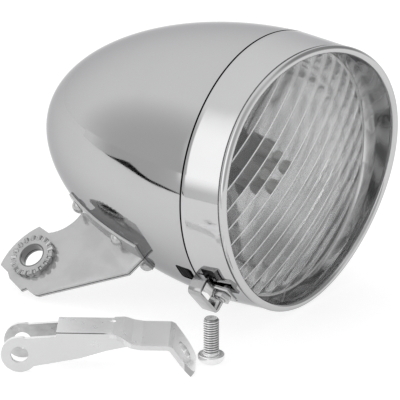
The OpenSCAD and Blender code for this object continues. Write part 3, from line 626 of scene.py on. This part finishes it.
def make_lens():
    """A shallow dome with upright round flutes on its inside, a rounded edge and a flange."""
    middle = lens_x + lens_crown - lens_sphere_r
    reach, edge, valley, play = lens_r - 0.1, 1.4, 0.05, 0.05
    per_flute = 20
    across = [i * flute_pitch / per_flute for i in range(int(reach / flute_pitch * per_flute) + 1)]
    across = [-y for y in reversed(across[1:])] + across
    rows = 72

    def front_at(y, z):
        r = math.hypot(y, z)
        drop = edge - math.sqrt(max(0.0, edge ** 2 - max(0.0, r - reach + edge) ** 2))
        return middle + math.sqrt(lens_sphere_r ** 2 - r ** 2) - drop

    def back_at(y, z):
        offset = 2 * abs(y - flute_pitch * round(y / flute_pitch)) / flute_pitch
        here, beside = (flute_depth * (1 - u ** 2) for u in (offset, 2 - offset))
        rib = (here + beside + math.sqrt((here - beside) ** 2 + valley ** 2)) / 2
        return middle + math.sqrt((lens_sphere_r - lens_t) ** 2 - y ** 2 - z ** 2) - rib

    points, faces = [], []
    for surface_at in (front_at, back_at):
        start = len(points)
        for y in across:
            top = math.sqrt(reach ** 2 - y ** 2)
            for j in range(rows + 1):
                z = top * math.sin(math.pi / 2 * (2 * j / rows - 1))
                points.append((surface_at(y, z), y, z))
        faces += grid_faces(len(across), rows + 1, round_columns=False, start=start)
    half = len(across) * (rows + 1)
    edges = [i * (rows + 1) for i in range(len(across))]
    edges += [half - rows - 1 + j for j in range(1, rows + 1)]
    edges += [i * (rows + 1) + rows for i in range(len(across) - 2, -1, -1)]
    edges += [j for j in range(rows - 1, 0, -1)]
    faces += [[edges[i], edges[(i + 1) % len(edges)], half + edges[(i + 1) % len(edges)], half + edges[i]]
              for i in range(len(edges))]
    seat, steps = edge_r - play, 128
    flange = [(lens_x - lens_t, lens_r - play), (lens_x - play, lens_r - play), (lens_x - play, seat),
              (lens_x - lens_t, seat)]
    start = len(points)
    points += turned_points(flange, steps)
    faces += grid_faces(4, steps, round_rows=True, start=start)
    piece("Fluted_Lens", "front", glass, points, faces, nodes=["lens"])


def make_reflector():
    """A dish with a step at its rim and a parabola within, open where the LEDs sit."""
    gasket_t, step_depth, bowl_sink, sheet, steps, bowl_steps = 1, 2.5, 1.5, 1, 192, 40
    gasket_back = lens_x - lens_t - gasket_t
    step_in = gasket_back - step_depth
    bowl_back = step_in - bowl_sink - bowl_depth
    seat = edge_r - 0.05
    bowl = []
    for i in range(bowl_steps + 1):
        r = bowl_r + (holder_r - bowl_r) * i / bowl_steps
        bowl.append((bowl_back + bowl_depth * (r ** 2 - holder_r ** 2) / (bowl_r ** 2 - holder_r ** 2), r))
    face = [(gasket_back, seat), (gasket_back, lens_r - 1), (step_in + 0.25, bowl_r + 1.3),
            (step_in - 0.05, bowl_r + 0.95), (step_in - 0.4, bowl_r + 0.75)] + bowl
    behind = [(x - sheet, r + 0.5) for x, r in reversed(face[1:])] + [(gasket_back - sheet, seat)]
    points = turned_points(face + behind, steps)
    piece("Reflector_Bowl", "front", reflector_coat, points,
          grid_faces(len(face + behind), steps, round_rows=True), nodes=["reflector"])


def make_screw():
    """A pan head with a cross recess. The thread is one helix that runs out under the head."""
    steps, per_turn = 72, 12
    low, high = screw_head_h, screw_head_h + screw_len
    rows = int((high - low) / thread_pitch * per_turn)
    points = []
    runout, runout_len, point_len = 0.3, 0.5, 0.7
    for i in range(rows + 1):
        z = low + (high - low) * i / rows
        for j in range(steps):
            turn = (z / thread_pitch - j / steps) % 1.0
            groove = max(0.0, 1 - abs(turn - 0.5) * 2 * 1.12)
            depth = thread_depth * min(1.0, groove * 1.1)
            depth *= min(1.0, max(0.0, (z - low - runout) / runout_len))
            point_taper = max(0.0, z - high + point_len) * 0.75
            r = screw_r - max(depth, point_taper)
            points.append((r * math.cos(2 * math.pi * j / steps), r * math.sin(2 * math.pi * j / steps), z))
    faces = grid_faces(rows + 1, steps)
    faces.append(list(range(rows * steps, rows * steps + steps)))
    faces.append(list(range(steps - 1, -1, -1)))
    piece("Screw_Thread", "screw", screw_zinc, points, faces, place=SCREW, crease=40)
    flat_r = 0.4 * screw_head_r
    dome = [(flat_r + (screw_head_r - flat_r) * math.sin(a), 0.75 * screw_head_h * (1 - math.cos(a)))
            for a in (math.radians(7.5 * i) for i in range(13))]
    outline = dome + [(screw_head_r, screw_head_h - 0.35), (screw_head_r - 0.12, screw_head_h - 0.12),
                      (screw_head_r - 0.35, screw_head_h), (screw_r + 0.25, screw_head_h),
                      (screw_r - 0.1, screw_head_h + 0.3)]
    points = [(r * math.cos(2 * math.pi * j / steps), r * math.sin(2 * math.pi * j / steps), z)
              for r, z in outline for j in range(steps)]
    faces = grid_faces(len(outline), steps)
    faces += [list(range(steps - 1, -1, -1)), list(range((len(outline) - 1) * steps, len(outline) * steps))]
    head = piece("Screw_Head", "screw", screw_zinc, points, faces, place=SCREW, crease=35)
    recess_r, recess_w, recess_depth = 2.1, 0.9, 1.4
    blade = rounded_box(-recess_r, recess_r, -recess_w / 2, recess_w / 2, 0.2, 3)
    for angle in (0, 90):
        cut(head, prism(blade, -1, recess_depth, SCREW @ Matrix.Rotation(math.radians(angle), 4, "Z")))
    dress(head, "screw", screw_zinc, 35, ["arm_screw"])


def eased(name, node, body, finish, edge, crease=30, segments=3, flat_over=None):
    """A stamped or turned piece on the drawing's solid, with its sharp edges eased."""
    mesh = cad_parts[node].data.copy()
    made = bpy.data.objects.new(name, mesh)
    bpy.context.scene.collection.objects.link(made)
    work = bmesh.new()
    work.from_mesh(mesh)
    bmesh.ops.remove_doubles(work, verts=work.verts, dist=2e-6)
    bmesh.ops.dissolve_limit(work, angle_limit=math.radians(1.0), verts=work.verts, edges=work.edges)
    work.to_mesh(mesh)
    work.free()
    bevel = made.modifiers.new("eased", "BEVEL")
    bevel.width, bevel.segments, bevel.limit_method = edge * MM, segments, "ANGLE"
    bevel.angle_limit = math.radians(crease)
    bevel.use_clamp_overlap = True
    view = bpy.context.evaluated_depsgraph_get()
    made.data = bpy.data.meshes.new_from_object(made.evaluated_get(view))
    made.modifiers.clear()
    dress(made, body, finish, crease, [node])
    if flat_over:
        for face in made.data.polygons:
            face.use_smooth = face.area < flat_over * MM ** 2
    return made


make_shell()
make_ring()
make_lens()
make_reflector()
make_screw()
eased("Lug_Plate_Near", "lug_plate_near", "lamp", plate_chrome, 0.24)
eased("Lug_Plate_Far", "lug_plate_far", "lamp", plate_chrome, 0.24)
eased("Lug_Toothed_Boss", "lug_serrated_ring", "lamp", boss_chrome, 0.12)
eased("Lug_Rivets", "lug_rivets", "lamp", plate_chrome, 0.08)
eased("Clamp_Stirrup", "clamp_stirrup", "front", clamp_chrome, 0.14)
eased("Clamp_Nut", "clamp_nut", "clamp_nut", nut_zinc, 0.2)
eased("Clamp_Stud", "clamp_screw", "front", nut_zinc, 0.12)
eased("Bracket_Arm", "mounting_arm", "arm", arm_zinc, 0.34, flat_over=6)

finishes = {
    "lens_gasket": rubber("black_rubber"),
    "lens_clips": zinc,
    "led_holder": moulded_plastic("grey_plastic", steel(0.2), 0.35),
    "leds": clear_diode("clear_diode"),
    "led_board": circuit_board("board_green"),
    "battery_carrier": black_plastic,
    "switch_body": black_plastic,
    "switch_slider": moulded_plastic("switch_plastic", grey(0.006), 0.5, grain_size=1500, shine=0.12),
    "batteries": cell_sleeve("cell_sleeve"),
    "battery_springs": zinc,
    "battery_contacts": brass("contact_brass"),
}
for node_name, finish in finishes.items():
    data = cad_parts[node_name].data
    data.materials.clear()
    data.materials.append(finish)
    data.polygons.foreach_set("use_smooth", [True] * len(data.polygons))
    data.set_sharp_from_angle(angle=math.radians(30))


# Studio
def way_to(azimuth, elevation):
    """The way to a place round the lamp, from +X towards +Y and upward, in degrees."""
    a, e = math.radians(azimuth), math.radians(elevation)
    return Vector((math.cos(a) * math.cos(e), math.sin(a) * math.cos(e), math.sin(e)))


def make_floor():
    """Plain pale paper that keeps the lamp's shadow and is white where nothing shades it."""
    m = material("studio_paper")
    seen = m.path("Is Camera Ray").at_least(m.path("Is Glossy Ray")).at_least(m.path("Is Transmission Ray"))
    fibre = m.blend(m.band(m.noise(30, 3.0), 0.3, 0.7), grey(0.88), grey(0.84))
    paper = m.node("ShaderNodeBsdfDiffuse", {}, {"Color": fibre})
    dim = m.node("ShaderNodeBsdfDiffuse", {}, {"Color": grey(0.34)})
    glow = m.node("ShaderNodeEmission", {}, {"Color": grey(1.0), "Strength": 0.79})
    lit = m.node("ShaderNodeAddShader", {}, {0: dim, 1: glow})
    m.finish_with(m.mixed(seen, paper, lit))
    size = 4.0
    floor = link_mesh("Floor", [(-size, -size, 0), (size, -size, 0), (size, size, 0), (-size, size, 0)],
                      [[0, 1, 2, 3]])
    floor.data.materials.append(m.owner)


def make_surroundings():
    """Pale walls all round, greyer where the studio is open, and white where the camera looks."""
    world = bpy.data.worlds.new("Studio")
    bpy.context.scene.world = world
    w = Finish(world)
    toward = w.node("ShaderNodeTexCoord", out="Generated")

    def facing(azimuth, elevation):
        return w.dot(toward, tuple(way_to(azimuth, elevation)))

    def lobe(azimuth, elevation, outer, inner):
        """1 within the inner angle from a way, 0 beyond the outer angle."""
        low, high = (math.cos(math.radians(angle)) for angle in (outer, inner))
        return w.band(facing(azimuth, elevation), low, high)

    open_side, dim_side, dim_corner = lobe(-50, 20, 78, 20), lobe(-134, 6, 40, 8), lobe(62, 38, 48, 22)
    bright_screen = w.band(facing(-37, 13), 0.01, 0.11) * lobe(-112, 16, 46, 14)
    wall = w.blend(open_side, (1.04, 1.04, 1.045), (0.62, 0.62, 0.625))
    wall = w.blend(dim_side, wall, steel(0.64))
    wall = w.blend(dim_corner, wall, steel(0.37))
    wall = w.blend(bright_screen, wall, (1.62, 1.62, 1.63))
    pale = w.node("ShaderNodeBackground", {}, {"Color": wall, "Strength": 1.0})
    white = w.node("ShaderNodeBackground", {}, {"Color": grey(1.0), "Strength": 1.0})
    w.node("ShaderNodeOutputWorld", {}, {"Surface": w.mixed(w.path("Is Camera Ray"), pale, white)})


def softbox(name, way, distance, size, radiance):
    """A square soft light, aimed at the lamp."""
    light = bpy.data.lights.new(name, "AREA")
    light.shape, light.size, light.size_y = "RECTANGLE", size, size
    light.energy = radiance * math.pi * size * size
    lamp_middle = Vector((0.02, 0.0, 0.045))
    lamp = bpy.data.objects.new(name, light)
    lamp.location = lamp_middle + way * distance
    lamp.rotation_euler = way.to_track_quat("Z", "Y").to_euler()
    bpy.context.scene.collection.objects.link(lamp)
    lamp.visible_glossy = False


def make_table_edge():
    """The table ends beside the lamp: the chrome shows its black edge as a line, and a grey wall beyond."""
    wall_top, table_low = 58, 0.2
    # Along, beside and height of the table's edge, higher in its middle
    edge = [(-700, -180, 0.3), (-420, -209, 0.5), (-380, -209.6, 5), (-335, -208.6, 11), (-290, -205.7, 21),
            (-254, -202, 24), (-222, -192, 20), (-190, -182, 14), (-153, -173, 9), (-120, -172, 7),
            (-98, -176, 4), (-88, -179, 0.3), (-60, -186, 0.3), (20, -205, 0.3), (90, -215, 0.3)]
    faces = [[2 * i, 2 * i + 2, 2 * i + 3, 2 * i + 1] for i in range(len(edge) - 1)]
    w = material("grey_wall")
    along = w.node("ShaderNodeSeparateXYZ", {}, {0: w.place()}, out="X")
    shade = w.blend(w.band(along, -0.6, -0.34), grey(1.0), steel(0.62))
    shade = w.blend(w.band(along, -0.15, 0.0), shade, steel(0.95))
    lit_top = w.band(along, -0.1, -0.08) * w.band(w.height(w.place()), 0.02, wall_top * MM)
    shade = w.blend(lit_top, shade, (1.55, 1.55, 1.56))
    w.finish_with(w.node("ShaderNodeEmission", {}, {"Color": shade, "Strength": 1.0}))
    black = moulded_plastic("table_edge", grey(0.002), 0.9, shine=0.0)
    table = [((x, y, table_low), (x, y, height)) for x, y, height in edge]
    wall = [((x, y, height), (x, y, wall_top)) for x, y, height in edge]
    for name, finish, pairs in (("Table_Edge", black, table), ("Grey_Wall", w.owner, wall)):
        made = link_mesh(name, [tuple(c * MM for c in point) for pair in pairs for point in pair], faces)
        made.data.materials.append(finish)
        made.visible_camera = False


make_floor()
make_surroundings()
make_table_edge()
softbox("Softbox_Above", way_to(120, 68), distance=1.0, size=0.6, radiance=1.2)
bpy.context.scene.view_settings.view_transform = "Standard"
